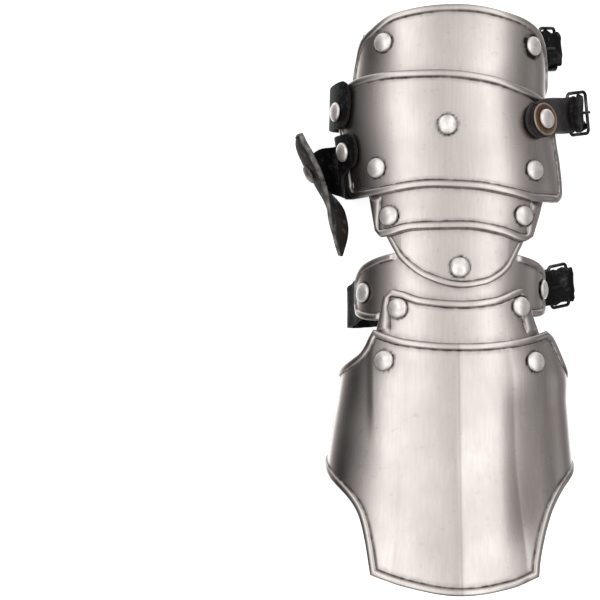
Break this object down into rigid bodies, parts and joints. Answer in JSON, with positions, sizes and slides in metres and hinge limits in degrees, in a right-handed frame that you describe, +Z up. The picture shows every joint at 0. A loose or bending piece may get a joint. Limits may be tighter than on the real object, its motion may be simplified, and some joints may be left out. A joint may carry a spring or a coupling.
{
  "type": "gauntlet",
  "caption": "Right-hand half gauntlet of articulated sheet steel with a flared cuff, a thumb plate and black leather straps with wire buckles.",
  "frame": {"origin": "centre of the whole box on the floor that the gauntlet lies on", "axes": "+Y towards the fingers, +X towards the little finger, +Z up, away from the palm"},
  "size_m": [0.1745, 0.331, 0.0923],
  "materials": {
    "plate_steel": "satin sheet steel, brushed along the arm, with a little warm darkening beside the raised borders",
    "rivet_steel": "satin domed rivets with a dark line round the head",
    "black_leather": "black grained leather, worn grey on its outer face",
    "black_wire": "black wire buckles",
    "copper": "browned copper washer"
  },
  "bodies": {
    "wrist": {"wrist_plate": "plate_steel", "wrist_strap": "black_leather", "wrist_tab": "black_leather", "wrist_buckle_frame": "black_wire", "wrist_buckle_prong": "black_wire", "rivet_wrist_thumb": "rivet_steel", "rivet_wrist_little": "rivet_steel"},
    "tongue": {"wrist_tongue": "plate_steel", "rivet_tongue": "rivet_steel"},
    "lame": {"wrist_lame": "plate_steel", "rivet_lame_thumb": "rivet_steel", "rivet_lame_little": "rivet_steel"},
    "hand": {"hand_plate": "plate_steel", "rivet_hand_thumb": "rivet_steel", "rivet_hand_little": "rivet_steel", "rivet_hand_centre": "rivet_steel", "palm_strap": "black_leather", "palm_tab": "black_leather", "palm_buckle_frame": "black_wire", "palm_buckle_prong": "black_wire", "palm_washer": "copper", "rivet_palm_thumb": "rivet_steel", "rivet_palm_little": "rivet_steel", "thumb_flap": "black_leather", "rivet_flap": "rivet_steel"},
    "knuckle": {"knuckle_plate": "plate_steel", "knuckle_strap": "black_leather", "knuckle_tab": "black_leather", "knuckle_buckle_frame": "black_wire", "knuckle_buckle_prong": "black_wire", "rivet_knuckle_thumb": "rivet_steel", "rivet_knuckle_little": "rivet_steel"},
    "thumb": {"thumb_plate": "plate_steel", "rivet_leaf": "rivet_steel"},
    "cuff_lame": {"cuff_lame": "plate_steel", "rivet_cuff_lame_thumb": "rivet_steel", "rivet_cuff_lame_little": "rivet_steel"},
    "cuff": {"cuff": "plate_steel", "rivet_cuff_thumb": "rivet_steel", "rivet_cuff_little": "rivet_steel"}
  },
  "joints": [
    {"name": "tongue_swivel", "type": "hinge", "parent": "wrist", "child": "tongue", "pos_m": [0.00528, 0.01475, 0.06127], "axis": [0.0129, 0.1018, 0.9947], "range_deg": [-3, 3]},
    {"name": "lame_hinge", "type": "hinge", "parent": "tongue", "child": "lame", "pos_m": [0.00417, 0.04399, 0.05278], "axis": [1, 0.0029, 0.0087], "range_deg": [-8, 3]},
    {"name": "hand_hinge", "type": "hinge", "parent": "lame", "child": "hand", "pos_m": [0.00396, 0.07082, 0.04926], "axis": [0.9998, -0.0174, 0.0125], "range_deg": [-8, 3]},
    {"name": "knuckle_swivel", "type": "hinge", "parent": "hand", "child": "knuckle", "pos_m": [-0.00123, 0.09533, 0.0572], "axis": [-0.0237, 0.0707, 0.9972], "range_deg": [-2, 2]},
    {"name": "thumb_swivel", "type": "hinge", "parent": "hand", "child": "thumb", "pos_m": [-0.07859, 0.06955, 0.029], "axis": [-0.846, -0.499, 0.1876], "range_deg": [-5, 5]},
    {"name": "cuff_lame_hinge", "type": "hinge", "parent": "wrist", "child": "cuff_lame", "pos_m": [0.00543, -0.00785, 0.05729], "axis": [0.9991, 0.012, -0.041], "range_deg": [-3, 8]},
    {"name": "cuff_hinge", "type": "hinge", "parent": "cuff_lame", "child": "cuff", "pos_m": [0.0054, -0.03819, 0.06058], "axis": [0.9998, -0.0108, -0.0173], "range_deg": [-3, 8]}
  ]
}
